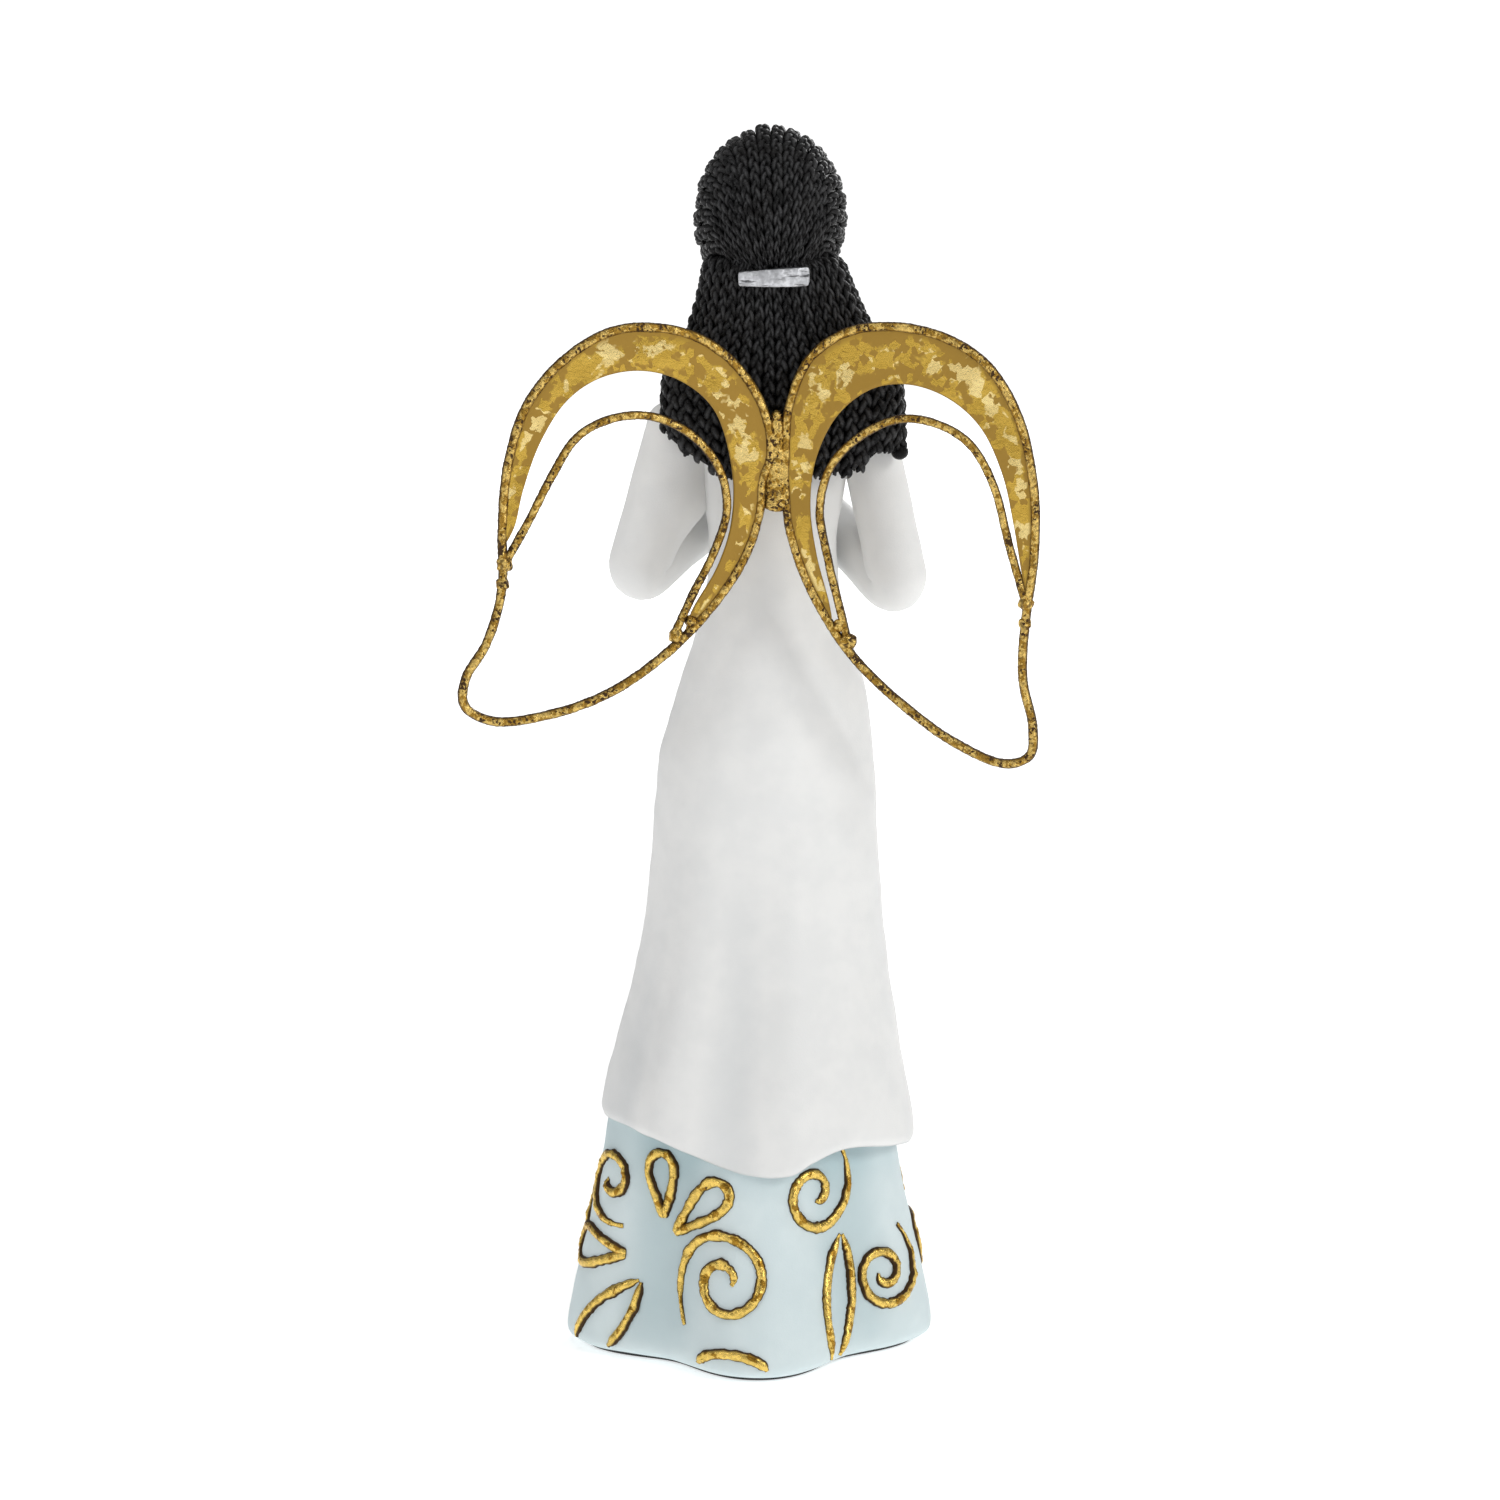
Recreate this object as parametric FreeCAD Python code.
"""A standing resin angel, 250 mm tall, with welded wire wings.

Frame: +Z up, the angel faces -Y and her left hand is on +X. The origin is on the surface that she
stands on, at the middle of her skirt. All lengths are millimetres and all angles are degrees.

The cast pieces are an underskirt with raised scrolls, a gown that stands on it, two sleeved arms, two
hands held palm to palm, a head on a neck, and braided hair in a crown, a clip and a fall. The wings are
bent wire with a sheet crescent in each, welded back to back on a spine and held by one stud.
"""

import FreeCAD, Part  # noqa: E401  FreeCAD has to load first

import math
import os

from FreeCAD import Base

Vector = Base.Vector

# ---------------------------------------------------------------- driving dimensions
AXIS_X = -4.5            # her spine stands a little to her right of the middle of the skirt
PAD_THICKNESS = 0.8
PAD_INSET = 2.5

WIRE_RADIUS = 0.95
ARCH_RADIUS = 0.85
PLATE_THICKNESS = 0.8
SPINE_X = -5.6
SPINE_Y = 18.0
SPINE_Z = 184.5
WING_SWEEP = 12.0        # each wing leans back from the spine by this angle
WELD_RADIUS = 1.3
WELD_BOTTOM = 174.5
WELD_TOP = 194.0
STUD_RADIUS = 1.5
STUD_GLUE_GAP = 0.05
STUD_INNER_Y = 2.0

CORD_RADIUS = 0.8        # the raised lines on the skirt
CORD_END_RADIUS = 0.4
TIP_GAP = 1.0            # between the two ends of a line that meet at a tip
TEARDROP_SWELL = 1.54    # makes sin(a) * sin(a / 2)^2 peak at 1
CORD_SINK = 0.2          # how far a line's centre lies under the skirt's surface

OUT_OF_THE_WAY = 60.0    # how far a cutting solid reaches past what it cuts
SECTION_POINTS = 40      # points on each closed section of a cast piece


# ---------------------------------------------------------------- small tools
def smooth(table, x):
    """Cubic through a sorted table of (place, value), with slopes limited so that it never overshoots."""
    if x <= table[0][0]:
        return table[0][1]
    if x >= table[-1][0]:
        return table[-1][1]
    gaps = [b[0] - a[0] for a, b in zip(table, table[1:])]
    rises = [(b[1] - a[1]) / g for a, b, g in zip(table, table[1:], gaps)]
    slopes = [rises[0]]
    for before, after in zip(rises, rises[1:]):
        slopes.append(0.0 if before * after <= 0 else 2 * before * after / (before + after))
    slopes.append(rises[-1])
    k = max(i for i in range(len(gaps)) if table[i][0] <= x)
    t = (x - table[k][0]) / gaps[k]
    a, b = table[k][1], table[k + 1][1]
    ma, mb = slopes[k] * gaps[k], slopes[k + 1] * gaps[k]
    return (a * (2 * t**3 - 3 * t**2 + 1) + ma * (t**3 - 2 * t**2 + t)
            + b * (3 * t**2 - 2 * t**3) + mb * (t**3 - t**2))


def turn_between(angle, centre):
    """Signed difference of two directions, from -180 to 180."""
    return (angle - centre + 180.0) % 360.0 - 180.0


def folds_at(folds, angle, z):
    """Sum of soft ridges (+) and valleys (-). A fold is (direction, depth, half width, height of its start,
    height where it is full)."""
    total = 0.0
    for centre, depth, width, start_z, full_z in folds:
        fade = min(1.0, max(0.0, (start_z - z) / (start_z - full_z)))
        fade = fade * fade * (3 - 2 * fade)
        total += depth * fade * math.exp(-((turn_between(angle, centre) / width) ** 2))
    return total


def ellipse_reach(angle, half_width, half_depth):
    """Distance from the centre of an ellipse to its edge. Direction 0 is her back and 90 is her left."""
    a = math.radians(angle)
    return 1.0 / math.hypot(math.sin(a) / half_width, math.cos(a) / half_depth)


def closed_wire(points):
    """Smooth closed curve through the points, with even parameters so that neighbouring sections match."""
    curve = Part.BSplineCurve()
    steps = [float(i) for i in range(len(points) + 1)]
    curve.interpolate(Points=points, PeriodicFlag=True, Parameters=steps)
    return Part.Wire([curve.toShape()])


def loft(point_at, heights):
    """Solid through one closed section at each height. point_at(angle, z) gives a point of the surface."""
    step = 360.0 / SECTION_POINTS
    wires = [closed_wire([point_at(i * step, z) for i in range(SECTION_POINTS)]) for z in heights]
    return Part.makeLoft(wires, True, False)


def ellipsoid(centre, half_x, half_y, half_z):
    ball = Part.makeSphere(1.0).toNurbs()
    stretch = Base.Matrix()
    stretch.scale(half_x, half_y, half_z)
    shape = ball.transformGeometry(stretch)
    shape.translate(centre)
    return shape


def rod(start, end, start_radius, end_radius):
    """Cylinder, or cone where the two radii differ."""
    along = end - start
    if abs(start_radius - end_radius) < 1e-6:
        return Part.makeCylinder(start_radius, along.Length, start, along)
    return Part.makeCone(start_radius, end_radius, along.Length, start, along)


def limb(joints):
    """Tapering limb through (point, radius) joints, with a ball at each."""
    pieces = [Part.makeSphere(radius, point) for point, radius in joints]
    pieces += [rod(a[0], b[0], a[1], b[1]) for a, b in zip(joints, joints[1:])]
    return pieces[0].fuse(pieces[1:]).removeSplitter()


def unit(vector):
    return vector * (1.0 / vector.Length)


def arc_edge(start, corner, end):
    """Arc from start to end, tangent to the lines that meet at corner. Straight if the three are in line."""
    middle = (start + end) * 0.5
    half_chord = (end - start).Length / 2
    rise = (corner - middle).Length
    if rise < 1e-4 * half_chord:
        return Part.LineSegment(start, end).toShape()
    sagitta = half_chord * math.tan(math.atan2(rise, half_chord) / 2)
    return Part.Arc(start, middle + (corner - middle) * (sagitta / rise), end).toShape()


def arc_path(points, closed=False):
    """Wire of tangent arcs, two from each point to the next. Neighbours give the direction at a point."""
    count = len(points)
    tangents = []
    for i, point in enumerate(points):
        before = points[i - 1] if closed or i else point
        after = points[(i + 1) % count] if closed or i < count - 1 else point
        tangents.append(unit(after - before))
    edges = []
    for i in range(count if closed else count - 1):
        start, end = points[i], points[(i + 1) % count]
        t_start, t_end = tangents[i], tangents[(i + 1) % count]
        chord, both = end - start, t_start + t_end
        bend = 2 * (1 - t_start.dot(t_end))
        if bend < 1e-6:
            reach = chord.Length / 4
        else:
            reach = (-chord.dot(both) + math.sqrt(chord.dot(both) ** 2 + bend * chord.dot(chord))) / bend
        corner_a, corner_b = start + t_start * reach, end - t_end * reach
        meet = (corner_a + corner_b) * 0.5
        edges += [arc_edge(start, corner_a, meet), arc_edge(meet, corner_b, end)]
    return Part.Wire(edges)


def tube(points, radius, closed=False):
    """Round bar along a path of tangent arcs."""
    path = arc_path(points, closed)
    first = path.Edges[0]
    start = first.valueAt(first.FirstParameter)
    along = first.tangentAt(first.FirstParameter)
    profile = Part.Wire([Part.makeCircle(radius, start, along)])
    return path.makePipeShell([profile], True, True)


def export(name, shape):
    solids = shape.Solids
    kept = solids[0] if len(solids) == 1 else Part.makeCompound(solids)
    kept.exportStep(os.path.join("parts", name + ".step"))
    print(f"{name}: {len(solids)} solid(s), {kept.Volume / 1000:.2f} cm3, valid {kept.isValid()}")


# ---------------------------------------------------------------- underskirt
# (height, value); the skirt's spigot ends at 66, inside the gown
SKIRT_HALF_WIDTH = [(0.8, 36.4), (1.6, 37.3), (3.5, 37.7), (6.0, 37.5), (11.0, 36.5), (18.0, 34.9),
                    (26.0, 33.1), (36.0, 31.0), (46.0, 29.2), (56.0, 27.0), (66.0, 24.0)]
SKIRT_HALF_DEPTH = [(0.8, 34.2), (1.6, 35.0), (3.5, 35.2), (6.0, 34.8), (11.0, 33.4), (18.0, 31.2),
                    (26.0, 28.9), (36.0, 26.6), (46.0, 24.8), (56.0, 22.6), (66.0, 19.5)]
SKIRT_LOBE = [(0.8, 4.2), (18.0, 3.2), (36.0, 2.1), (46.0, 1.5), (66.0, 0.3)]   # half height of four folds
SKIRT_LOBE_TURN = -4.0   # direction of the back fold
SKIRT_HEIGHTS = [0.8, 1.6, 3.5, 6.5, 12.0, 20.0, 30.0, 42.0, 54.0, 66.0]


def skirt_point(angle, z, grow=0.0):
    """Surface of the underskirt: an ellipse that flares downward, with four folds that deepen."""
    lobe = smooth(SKIRT_LOBE, z)
    half_width = smooth(SKIRT_HALF_WIDTH, z) - lobe
    half_depth = smooth(SKIRT_HALF_DEPTH, z) - lobe
    reach = ellipse_reach(angle, half_width, half_depth) + grow
    reach += lobe * math.cos(math.radians(4 * (angle - SKIRT_LOBE_TURN)))
    a = math.radians(angle)
    return Vector(reach * math.sin(a), reach * math.cos(a), z)


# ---------------------------------------------------------------- gown
GOWN_HALF_WIDTH = [(36.0, 33.2), (48.0, 32.2), (55.0, 31.0), (63.0, 29.2), (72.0, 27.2), (82.0, 25.3),
                   (92.0, 24.0), (105.0, 23.0), (121.0, 21.9), (130.0, 20.4), (138.0, 18.5),
                   (146.0, 16.0), (156.0, 13.6), (165.0, 12.8), (178.0, 14.6), (188.0, 16.0),
                   (195.0, 15.2), (199.5, 11.4), (203.0, 7.6)]
GOWN_BACK_DEPTH = [(36.0, 28.0), (48.0, 26.8), (63.0, 23.8), (82.0, 20.0), (105.0, 17.4), (121.0, 16.8),
                   (138.0, 14.0), (156.0, 10.8), (165.0, 10.2), (188.0, 9.6), (195.0, 8.6), (203.0, 6.2)]
GOWN_FRONT_DEPTH = [(36.0, 28.0), (48.0, 26.5), (63.0, 23.0), (82.0, 18.8), (105.0, 16.0), (121.0, 14.6),
                    (138.0, 12.6), (156.0, 11.0), (165.0, 10.9), (178.0, 13.4), (188.0, 11.6),
                    (195.0, 9.0), (203.0, 6.0)]
GOWN_CENTRE_X = [(36.0, -1.1), (55.0, -1.2), (72.0, -2.1), (92.0, -2.9), (121.0, -3.3), (138.0, -4.5),
                 (165.0, -4.6), (203.0, AXIS_X)]
# direction, depth, half width, height where the fold starts, height where it is full
GOWN_FOLDS = [(44.0, 1.5, 15.0, 118.0, 52.0), (13.0, -1.3, 14.0, 118.0, 52.0),
              (-17.0, 1.7, 12.0, 128.0, 58.0), (64.0, -1.6, 14.0, 105.0, 50.0),
              (112.0, -1.4, 15.0, 110.0, 50.0), (146.0, 1.8, 15.0, 125.0, 55.0),
              (178.0, -1.5, 13.0, 118.0, 55.0), (-148.0, 2.0, 15.0, 130.0, 55.0),
              (-114.0, -1.3, 14.0, 108.0, 50.0)]
GOWN_HEIGHTS = [36.0, 44.0, 52.0, 62.0, 73.0, 85.0, 98.0, 112.0, 124.0, 134.0, 144.0, 154.0, 164.0,
                173.0, 181.0, 188.0, 194.0, 198.0, 201.0, 203.0]
# height of the gown's hem against direction, all the way round
GOWN_HEM = [(-180.0, 40.4), (-155.0, 42.6), (-130.0, 45.0), (-108.0, 43.6), (-88.0, 42.4), (-66.0, 43.7),
            (-42.0, 45.3), (-24.0, 43.4), (-14.0, 41.1), (-5.0, 40.6), (4.0, 40.9), (14.0, 42.0),
            (30.0, 45.0), (46.0, 47.5), (74.0, 47.9), (98.0, 48.2), (128.0, 45.6), (155.0, 42.0),
            (180.0, 40.4)]


def gown_point(angle, z, grow=0.0):
    """Surface of the gown: an ellipse whose back and front depths differ, with folds that open downward."""
    half_width = smooth(GOWN_HALF_WIDTH, z)
    back = abs(turn_between(angle, 0.0)) < 90.0
    half_depth = smooth(GOWN_BACK_DEPTH if back else GOWN_FRONT_DEPTH, z)
    reach = ellipse_reach(angle, half_width, half_depth) + folds_at(GOWN_FOLDS, angle, z) + grow
    a = math.radians(angle)
    return Vector(smooth(GOWN_CENTRE_X, z) + reach * math.sin(a), reach * math.cos(a), z)


def hem_cutter():
    """Everything under the hem, as a solid whose top is a gently waving sheet."""
    span, count, calm = 44.0, 23, 16.0
    level = sum(z for _, z in GOWN_HEM) / len(GOWN_HEM)
    rows = []
    for i in range(count):
        row = []
        for j in range(count):
            x = -span + 2 * span * i / (count - 1)
            y = -span + 2 * span * j / (count - 1)
            share = min(1.0, math.hypot(x, y) / calm)
            share = share * share * (3 - 2 * share)
            direction = math.degrees(math.atan2(x, y))
            row.append(Vector(x, y, level + share * (smooth(GOWN_HEM, direction) - level)))
        rows.append(row)
    sheet = Part.BSplineSurface()
    sheet.interpolate(rows)
    return sheet.toShape().extrude(Vector(0, 0, -40.0))


# ---------------------------------------------------------------- arms, hands, head
# shoulder, elbow and wrist of each arm, with the sleeve's radius there
LEFT_ARM = [(Vector(10.5, 0.5, 194.0), 5.8), (Vector(23.2, 1.5, 157.5), 6.4),
            (Vector(0.4, -20.0, 174.0), 4.3)]
RIGHT_ARM = [(Vector(-21.5, 0.5, 194.0), 5.8), (Vector(-31.0, 1.5, 154.5), 6.4),
             (Vector(-9.4, -20.0, 174.0), 4.3)]
ELBOW_BEND = 7.4         # radius of the arm's centre line at the elbow
PALM_GAP = 0.0
HAND_LENGTH = 19.0
HAND_BASE = Vector(AXIS_X, -21.0, 174.0)   # heels of both hands
HAND_LEAN = 12.0                           # fingertips lean away from the face
# share of the hand's length, thickness of one hand, half width
HAND_SECTIONS = [(0.0, 3.2, 2.6), (0.2, 3.4, 3.6), (0.45, 3.2, 4.0), (0.7, 2.6, 3.6), (0.9, 2.0, 2.8),
                 (1.0, 1.0, 1.4)]

HEAD_CENTRE = Vector(-4.3, -1.5, 229.6)
HEAD_HALF = (12.6, 15.2, 17.3)
NECK_RADIUS = 5.0
NECK_SOCKET_Z = 192.0
NECK_Y = 0.6
NOSE_BRIDGE = ((-15.6, 231.5), 1.3)   # (y, height), radius
NOSE_TIP = ((-17.2, 226.5), 1.7)
CROWN_CENTRE = Vector(-4.1, 0.4, 231.5)
CROWN_HALF = (15.6, 17.4, 18.5)
CROWN_FLOOR = 224.0
HAIRLINE_FOREHEAD = Vector(AXIS_X, -14.6, 240.0)
HAIRLINE_EAR = Vector(AXIS_X, -1.5, 219.0)


def arm(joints):
    """Sleeve: round sections along the upper arm, round the elbow and along the forearm."""
    (shoulder, r_shoulder), (elbow, r_elbow), (wrist, r_wrist) = joints
    down, on = unit(elbow - shoulder), unit(wrist - elbow)
    half_turn = math.acos(max(-1.0, min(1.0, down.dot(on)))) / 2
    cut_back = ELBOW_BEND * math.tan(half_turn)
    inward = unit(on - down)
    centre = elbow + inward * (ELBOW_BEND / math.cos(half_turn))
    before, after = elbow - down * cut_back, elbow + on * cut_back
    stations = [(shoulder, down, r_shoulder), ((shoulder + before) * 0.5, down, (r_shoulder + r_elbow) / 2)]
    side = unit(down.cross(on))
    for i in range(5):
        turn = half_turn * 2 * i / 4
        spin = Base.Rotation(side, math.degrees(turn))
        stations.append((centre + spin.multVec(before - centre), spin.multVec(down), r_elbow))
    stations += [((after + wrist) * 0.5, on, (r_elbow + r_wrist) / 2), (wrist, on, r_wrist)]
    wires = []
    for point, along, radius in stations:
        across = along.cross(side)
        wires.append(closed_wire([point + side * (radius * math.cos(a)) + across * (radius * math.sin(a))
                                  for a in (math.pi * k / 8 for k in range(16))]))
    return Part.makeLoft(wires, True, False)


def hand(side):
    """One hand, flat against the other at x = AXIS_X. side is +1 for her left."""
    lean = math.radians(HAND_LEAN)
    along = Vector(0, -math.sin(lean), math.cos(lean))
    across = Vector(0, math.cos(lean), math.sin(lean))
    wires = []
    for share, thickness, half_width in HAND_SECTIONS:
        centre = HAND_BASE + along * (share * HAND_LENGTH) + Vector(side * (PALM_GAP + thickness / 2), 0, 0)
        points = []
        for i in range(16):
            a = 2 * math.pi * i / 16
            points.append(centre + Vector(thickness / 2 * math.cos(a), 0, 0)
                          + across * (half_width * math.sin(a)))
        wires.append(closed_wire(points))
    return Part.makeLoft(wires, True, False)


def head():
    """A plain egg for the skull and face, with its neck and the plug that goes down into the gown."""
    skull = ellipsoid(HEAD_CENTRE, *HEAD_HALF)
    neck = Part.makeCylinder(NECK_RADIUS, HEAD_CENTRE.z - NECK_SOCKET_Z,
                             Vector(AXIS_X, NECK_Y, NECK_SOCKET_Z))
    nose = limb([(Vector(HEAD_CENTRE.x, *place), radius) for place, radius in (NOSE_BRIDGE, NOSE_TIP)])
    return skull.fuse([neck, nose]).removeSplitter()


# ---------------------------------------------------------------- hair
FALL_HALF_WIDTH = [(178.5, 13.0), (181.0, 18.6), (184.5, 22.6), (189.0, 24.9), (194.0, 25.0), (199.5, 24.5),
                   (205.0, 21.6), (210.0, 18.9), (215.0, 17.0), (220.0, 15.4), (224.0, 14.2)]
FALL_BACK_Y = [(178.5, 12.6), (181.0, 13.6), (188.0, 14.8), (200.0, 15.2), (210.0, 15.0), (224.0, 15.4)]
FALL_FRONT_Y = [(178.5, 3.0), (194.0, 0.0), (206.0, -3.0), (214.0, -4.0), (224.0, -5.0)]
FALL_CENTRE_X = [(178.5, -6.2), (200.0, -6.4), (212.0, -5.8), (224.0, -4.6)]
FALL_HEIGHTS = [178.5, 180.5, 183.5, 187.5, 192.0, 197.0, 202.0, 207.0, 212.0, 218.0, 224.0]
LOOSE_BRAID = [Vector(-26.5, 4.5, 207.0), Vector(-28.8, 6.0, 200.0), Vector(-29.8, 7.6, 193.0),
               Vector(-29.9, 8.0, 185.0)]
LOOSE_BRAID_RADIUS = 1.9
CLIP_CENTRE = Vector(-4.7, 16.0, 220.4)
CLIP_HALF_WIDTH = 7.2
CLIP_HEIGHT = 4.0
CLIP_THICKNESS = 1.6
CLIP_BEND_RADIUS = 19.0


def fall_point(angle, z):
    """Surface of the loose hair: a rounded box in plan, wide at her shoulders, narrow under the clip."""
    a = math.radians(angle)
    middle = (smooth(FALL_BACK_Y, z) + smooth(FALL_FRONT_Y, z)) / 2
    depth = (smooth(FALL_BACK_Y, z) - smooth(FALL_FRONT_Y, z)) / 2
    across = math.copysign(abs(math.sin(a)) ** 0.85, math.sin(a))
    back = math.copysign(abs(math.cos(a)) ** 0.85, math.cos(a))
    return Vector(smooth(FALL_CENTRE_X, z) + smooth(FALL_HALF_WIDTH, z) * across, middle + depth * back, z)


def crown():
    """Braids drawn back over the skull: the part of an ellipsoid behind the hairline and above the clip."""
    cap = ellipsoid(CROWN_CENTRE, *CROWN_HALF)
    far = OUT_OF_THE_WAY
    run = HAIRLINE_FOREHEAD - HAIRLINE_EAR
    ahead = HAIRLINE_EAR + run * (far / run.z)
    corners = [HAIRLINE_EAR, ahead, Vector(0, ahead.y - far, ahead.z), Vector(0, ahead.y - far, 180.0),
               Vector(0, HAIRLINE_EAR.y, 180.0)]
    outline = [Vector(-far, p.y, p.z) for p in corners]
    face_side = Part.Face(Part.makePolygon(outline + outline[:1])).extrude(Vector(2 * far, 0, 0))
    below = Part.makeBox(2 * far, 2 * far, far, Vector(-far, -far, CROWN_FLOOR - far))
    return cap.cut(face_side).cut(below)


def clip():
    """Curved metal bar across the back of the head."""
    centre = CLIP_CENTRE - Vector(0, CLIP_BEND_RADIUS, 0)
    base = centre - Vector(0, 0, CLIP_HEIGHT / 2)
    half_angle = math.degrees(math.asin(CLIP_HALF_WIDTH / CLIP_BEND_RADIUS))
    ring = Part.makeCylinder(CLIP_BEND_RADIUS, CLIP_HEIGHT, base, Vector(0, 0, 1), 2 * half_angle)
    ring = ring.cut(Part.makeCylinder(CLIP_BEND_RADIUS - CLIP_THICKNESS, CLIP_HEIGHT, base))
    ring.rotate(centre, Vector(0, 0, 1), 90.0 - half_angle)
    return ring.makeFillet(0.4, [e for e in ring.Edges if e.Length > CLIP_HEIGHT + 1])


# ---------------------------------------------------------------- wings
# (out from the spine, up from SPINE_Z) in the plane of the wing
RIGHT_FRAME = [(1.6, 3.0), (2.3, 11.0), (6.4, 20.4), (14.0, 25.8), (23.2, 27.0), (32.8, 25.2),
               (41.6, 19.9), (48.0, 9.6), (51.2, -4.6), (51.3, -18.0), (49.8, -30.0), (49.3, -42.0),
               (51.4, -51.8), (50.8, -57.4), (46.0, -59.2), (36.5, -55.7), (25.5, -48.3), (14.4, -37.8),
               (7.2, -26.6), (2.7, -15.0), (1.5, -6.0)]
RIGHT_ARCH = [(49.6, -26.5), (46.4, -15.8), (43.2, -4.0), (38.4, 4.2), (31.6, 8.1), (24.2, 8.8),
              (16.6, 5.3), (10.6, -0.9), (8.4, -9.5), (10.0, -19.0), (12.6, -29.6), (14.2, -36.0)]
RIGHT_CRESCENT = [(10.4, -28.4), (7.8, -18.6), (6.5, -8.6), (7.7, 0.8), (12.2, 9.6), (19.2, 14.8),
                  (26.6, 15.6), (34.2, 13.0), (40.4, 7.6), (44.8, -1.4), (47.2, -11.6), (49.0, -21.6)]
LEFT_FRAME = [(1.7, 1.0), (2.7, 9.4), (7.8, 18.2), (15.2, 24.2), (24.0, 26.8), (33.6, 26.2), (43.0, 20.8),
              (50.4, 12.0), (54.2, 0.4), (55.4, -12.0), (55.6, -24.0), (58.6, -34.4), (63.0, -41.8),
              (63.2, -46.9), (57.8, -50.2), (46.6, -49.4), (34.0, -45.3), (22.0, -37.3), (13.0, -28.2),
              (6.8, -19.0), (3.8, -10.0), (3.3, -4.0)]
LEFT_ARCH = [(54.6, -18.4), (50.2, -10.8), (45.4, -1.8), (40.4, 5.6), (33.6, 9.1), (25.6, 9.4),
             (17.6, 5.6), (12.0, -1.2), (10.4, -9.4), (13.0, -17.8), (17.4, -26.4), (21.0, -34.0)]
LEFT_CRESCENT = [(17.6, -29.6), (12.4, -20.8), (9.6, -12.2), (9.4, -1.6), (13.0, 10.4), (19.6, 16.2),
                 (27.6, 18.4), (35.6, 17.2), (42.2, 13.0), (47.6, 5.0), (51.2, -4.6), (53.0, -11.8)]
# weld beads: (out, up, radius), where each arch meets its frame
RIGHT_BEADS = [(49.8, -27.0, 1.5), (49.6, -31.0, 1.3), (14.2, -35.6, 1.6), (12.4, -32.6, 1.3)]
LEFT_BEADS = [(55.0, -19.0, 1.6), (55.4, -23.0, 1.3), (20.6, -34.4, 1.5), (17.6, -31.6, 1.3)]


class Wing:
    """Turns the flat outlines of one wing into solids. side is +1 for her left."""

    def __init__(self, side, frame, arch, crescent):
        sweep = math.radians(WING_SWEEP)
        self.spine = Vector(SPINE_X, SPINE_Y, SPINE_Z)
        self.out = Vector(side * math.cos(sweep), math.sin(sweep), 0)
        self.normal = Vector(-side * math.sin(sweep), math.cos(sweep), 0)
        self.frame_points = frame
        self.arch_points = arch
        self.crescent_points = crescent

    def place(self, point, lift=0.0):
        return self.spine + self.out * point[0] + Vector(0, 0, point[1]) + self.normal * lift

    def frame(self):
        return tube([self.place(p) for p in self.frame_points], WIRE_RADIUS, closed=True)

    def arch(self):
        return tube([self.place(p) for p in self.arch_points], ARCH_RADIUS)

    def crescent(self, frame):
        """Sheet between the frame and the inner curve, trimmed to the wire that it is welded to."""
        inner = [self.place(p, -PLATE_THICKNESS / 2) for p in self.crescent_points]
        near = min(range(len(self.frame_points)), key=lambda i: self.gap(i, self.crescent_points[-1]))
        far = min(range(len(self.frame_points)), key=lambda i: self.gap(i, self.crescent_points[0]))
        outer = [self.place(p, -PLATE_THICKNESS / 2) for p in self.frame_run(near, far)]
        wire = Part.Wire(arc_path(inner).Edges + [Part.LineSegment(inner[-1], outer[0]).toShape()]
                         + arc_path(outer).Edges + [Part.LineSegment(outer[-1], inner[0]).toShape()])
        sheet = Part.Face(wire).extrude(self.normal * PLATE_THICKNESS)
        kept = sheet.cut(frame)
        return max(kept.Solids, key=lambda s: s.Volume)

    def gap(self, index, point):
        there = self.frame_points[index]
        return math.hypot(there[0] - point[0], there[1] - point[1])

    def frame_run(self, near, far):
        """Frame points from the outer tip of the crescent, over the top, to its inner tip."""
        count = len(self.frame_points)
        run = [self.frame_points[near]]
        index = near
        while index != far:
            index = (index - 1) % count
            run.append(self.frame_points[index])
        return run

    def beads(self, spots, wires):
        """Lumps of weld where the arch meets the frame, trimmed to both wires."""
        lumps = []
        for out, up, radius in spots:
            lump = Part.makeSphere(radius, self.place((out, up)))
            for wire in wires:
                lump = lump.cut(wire)
            lumps += [s for s in lump.Solids if s.Volume > 0.05]
        return Part.makeCompound(lumps)


# ---------------------------------------------------------------- scrolls on the underskirt
# direction and height of the centre, size, direction in which the tail starts, degrees of turning
SPIRALS = [(72.0, 35.8, 7.4, -60.0, 480.0), (10.2, 19.5, 10.2, 225.0, 600.0),
           (-32.0, 35.8, 8.4, 50.0, 500.0), (-66.0, 17.0, 7.6, 60.0, 600.0),
           (-112.0, 33.0, 6.0, 200.0, 540.0), (-140.0, 17.0, 8.6, 225.0, 600.0),
           (-171.0, 31.0, 7.0, 50.0, 540.0), (156.0, 15.0, 8.6, 60.0, 600.0),
           (120.0, 34.0, 6.2, -60.0, 500.0)]
# direction and height of the tip, length, width, lean of the loop: 0 up, 90 towards a smaller direction
TEARDROPS = [(44.6, 30.0, 13.2, 5.6, -6.0), (38.0, 27.3, 15.6, 6.2, 46.0), (60.0, 21.5, 15.0, 7.0, -92.0),
             (-97.0, 14.5, 11.0, 6.0, 0.0), (-144.0, 32.0, 10.0, 6.6, -12.0),
             (150.0, 28.0, 12.0, 7.2, 0.0)]
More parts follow.
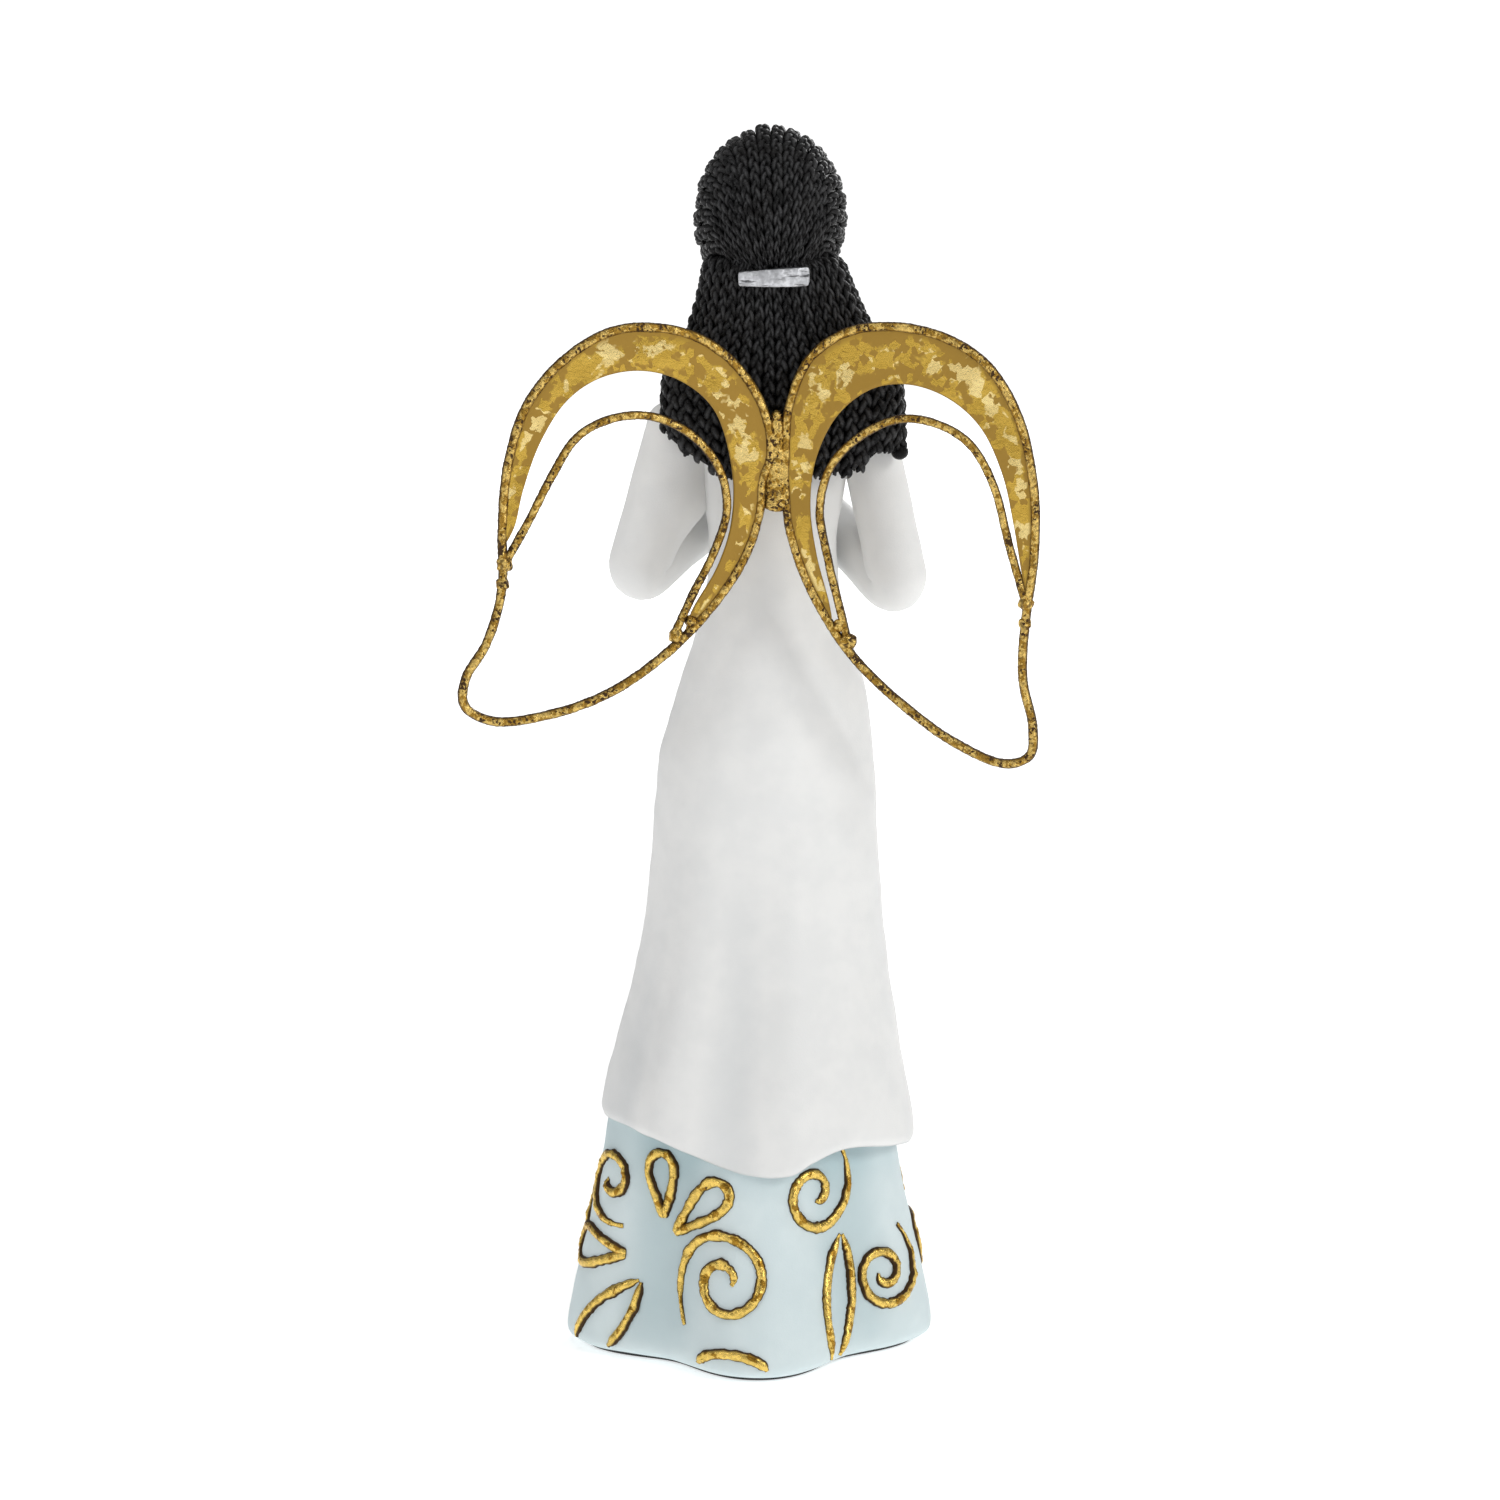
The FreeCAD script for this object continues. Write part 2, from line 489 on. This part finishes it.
# direction and height of the apex, length, width, lean of the apex: 0 up, 90 towards a smaller direction
LEAVES = [(-46.5, 26.5, 25.0, 7.0, 12.0), (52.5, 16.5, 23.0, 6.8, 34.0), (-112.0, 19.0, 17.0, 7.0, -6.0),
          (-174.0, 19.0, 17.0, 7.6, -4.0), (116.0, 21.0, 19.0, 7.6, -6.0), (98.0, 35.0, 20.0, 7.0, 0.0)]
# low arches, cut off by the bottom edge: direction, height of the top, half width
ARCHES = [(7.0, 5.8, 7.6), (-128.0, 6.3, 5.4)]
LOWEST_LINE = 2.4        # the lines stop here, where the bottom edge starts to round


def on_skirt(direction, height, across, up):
    """Point just under the skirt's surface, from distances measured along the surface. across is positive
    towards smaller directions, which is to the right for someone who looks at the skirt."""
    z = max(LOWEST_LINE, height + up)
    middle = skirt_point(direction, z)
    turn = math.degrees(across / math.hypot(middle.x, middle.y))
    return skirt_point(direction - turn, z, -CORD_SINK)


def spiral_points(direction, height, size, start, sweep):
    """Line that winds inward: its radius shrinks evenly with the turn, and its tail swings out further."""
    points = []
    count = int(sweep / 30)
    for i in range(count + 1):
        share = i / count
        radius = size * (0.16 + 0.9 * (1 - share) + 0.3 * math.exp(-share / 0.07))
        turn = math.radians(start - sweep * share)
        points.append(on_skirt(direction, height, radius * math.cos(turn), radius * math.sin(turn)))
    return points


def teardrop_points(direction, height, length, width, lean):
    """Loop with a round far end, whose sides run together at the tip."""
    points = []
    turn = math.radians(lean)
    count = 18
    for i in range(count + 1):
        a = 2 * math.pi * i / count
        along = length * (1 - math.cos(a)) / 2
        swell = TEARDROP_SWELL * math.sin(a) * math.sin(a / 2) ** 2
        aside = -(width / 2 * swell + TIP_GAP / 2 * math.cos(a / 2))
        points.append(on_skirt(direction, height, along * math.sin(turn) + aside * math.cos(turn),
                               along * math.cos(turn) - aside * math.sin(turn)))
    return points


def leaf_points(direction, height, length, width, lean, side):
    """One edge of a leaf, from the apex down. side is +1 or -1."""
    points = []
    turn = math.radians(lean)
    count = 8
    for i in range(count + 1):
        share = i / count
        along = -length * share
        aside = side * (width / 2 * math.sin(math.pi * 0.92 * share ** 0.9) + TIP_GAP / 2)
        up = along * math.cos(turn) - aside * math.sin(turn)
        if height + up < LOWEST_LINE:
            break
        points.append(on_skirt(direction, height, along * math.sin(turn) + aside * math.cos(turn), up))
    return points


def arch_points(direction, top, half_width):
    """Low arch whose feet stand on the bottom edge."""
    points = []
    count = 8
    for i in range(count + 1):
        a = math.pi * (0.06 + 0.88 * i / count)
        up = (LOWEST_LINE - top) * (1 - math.sin(a))
        points.append(on_skirt(direction, top, half_width * math.cos(a), up))
    return points


def relief_line(path):
    """Line with an eight-sided section along a path, thick in the middle and thin at both ends."""
    wires = []
    last = len(path) - 1
    for i, point in enumerate(path):
        along = unit(path[min(i + 1, last)] - path[max(i - 1, 0)])
        side = unit(along.cross(Vector(point.x, point.y, 0)))
        out = side.cross(along)
        near_end = min(i, last - i) / (0.25 * last)
        radius = CORD_END_RADIUS + (CORD_RADIUS - CORD_END_RADIUS) * min(1.0, near_end)
        ring = [point + side * (radius * math.cos(a)) + out * (radius * math.sin(a))
                for a in (math.pi * k / 4 for k in range(8))]
        wires.append(Part.makePolygon(ring + ring[:1]))
    return Part.makeLoft(wires, True, True)


def relief(paths, skirt):
    """Round lines along the paths, less the skirt that they stand on."""
    lines = []
    for path in paths:
        standing = relief_line(path).cut(skirt)
        if standing.Solids:
            lines.append(max(standing.Solids, key=lambda s: s.Volume))
    return Part.makeCompound(lines)


# ---------------------------------------------------------------- put together
def main():
    os.makedirs("parts", exist_ok=True)

    skirt = loft(skirt_point, SKIRT_HEIGHTS)
    pad_wire = closed_wire([skirt_point(360.0 * i / SECTION_POINTS, PAD_THICKNESS, -PAD_INSET)
                            for i in range(SECTION_POINTS)])
    pad_wire.translate(Vector(0, 0, -PAD_THICKNESS))
    pad = Part.Face(pad_wire).extrude(Vector(0, 0, PAD_THICKNESS))
    export("foot_pad", pad)

    stud = Part.makeCylinder(STUD_RADIUS, SPINE_Y - WELD_RADIUS - STUD_INNER_Y,
                             Vector(SPINE_X, STUD_INNER_Y, SPINE_Z), Vector(0, 1, 0))
    stud_hole = Part.makeCylinder(STUD_RADIUS + STUD_GLUE_GAP, OUT_OF_THE_WAY,
                                  Vector(SPINE_X, STUD_INNER_Y - STUD_GLUE_GAP, SPINE_Z), Vector(0, 1, 0))
    skull = head()
    gown = loft(gown_point, GOWN_HEIGHTS).cut(hem_cutter()).cut(skirt).cut(skull).cut(stud_hole)
    gown = max(gown.Solids, key=lambda s: s.Volume)
    export("underskirt", skirt)
    export("gown", gown)

    sleeves = []
    for name, joints in (("left_sleeve", LEFT_ARM), ("right_sleeve", RIGHT_ARM)):
        sleeves.append(max(arm(joints).cut(gown).Solids, key=lambda s: s.Volume))
        export(name, sleeves[-1])
    for name, side in (("left_hand", 1), ("right_hand", -1)):
        export(name, hand(side).cut(sleeves[0]).cut(sleeves[1]))
    export("head", skull)

    bar = clip()
    cap = crown().cut(skull).cut(bar)
    fall = loft(fall_point, FALL_HEIGHTS).cut(gown).cut(skull).cut(bar).cut(stud_hole)
    fall = fall.cut(sleeves[0]).cut(sleeves[1])
    fall = max(fall.Solids, key=lambda s: s.Volume)
    braid = tube(LOOSE_BRAID, LOOSE_BRAID_RADIUS).fuse(Part.makeSphere(LOOSE_BRAID_RADIUS, LOOSE_BRAID[-1]))
    braid = max(braid.cut(fall).cut(sleeves[1]).cut(gown).Solids, key=lambda s: s.Volume)
    export("crown_hair", max(cap.Solids, key=lambda s: s.Volume))
    export("hair_clip", bar)
    export("hair_fall", fall)
    export("loose_braid", braid)

    wings = {"left": Wing(1, LEFT_FRAME, LEFT_ARCH, LEFT_CRESCENT),
             "right": Wing(-1, RIGHT_FRAME, RIGHT_ARCH, RIGHT_CRESCENT)}
    beads = {"left": LEFT_BEADS, "right": RIGHT_BEADS}
    frames = []
    for side, wing in wings.items():
        frame = wing.frame()
        arch = wing.arch().cut(frame)
        arch = max(arch.Solids, key=lambda s: s.Volume)
        crescent = wing.crescent(frame)
        lumps = wing.beads(beads[side], [frame, arch, crescent])
        export(side + "_wing_frame", frame)
        export(side + "_wing_arch", arch)
        export(side + "_wing_crescent", crescent)
        export(side + "_wing_weld_beads", lumps)
        frames.append(frame)
    weld = Part.makeCylinder(WELD_RADIUS, WELD_TOP - WELD_BOTTOM, Vector(SPINE_X, SPINE_Y, WELD_BOTTOM))
    weld = weld.cut(stud).cut(frames[0]).cut(frames[1])
    export("wing_spine_weld", max(weld.Solids, key=lambda s: s.Volume))
    export("wing_stud", stud)

    export("scroll_spirals", relief([spiral_points(*row) for row in SPIRALS], skirt))
    export("scroll_teardrops", relief([teardrop_points(*row) for row in TEARDROPS], skirt))
    leaf_lines = [leaf_points(*row, side) for row in LEAVES for side in (1, -1)]
    export("scroll_leaves", relief(leaf_lines + [arch_points(*row) for row in ARCHES], skirt))


main()
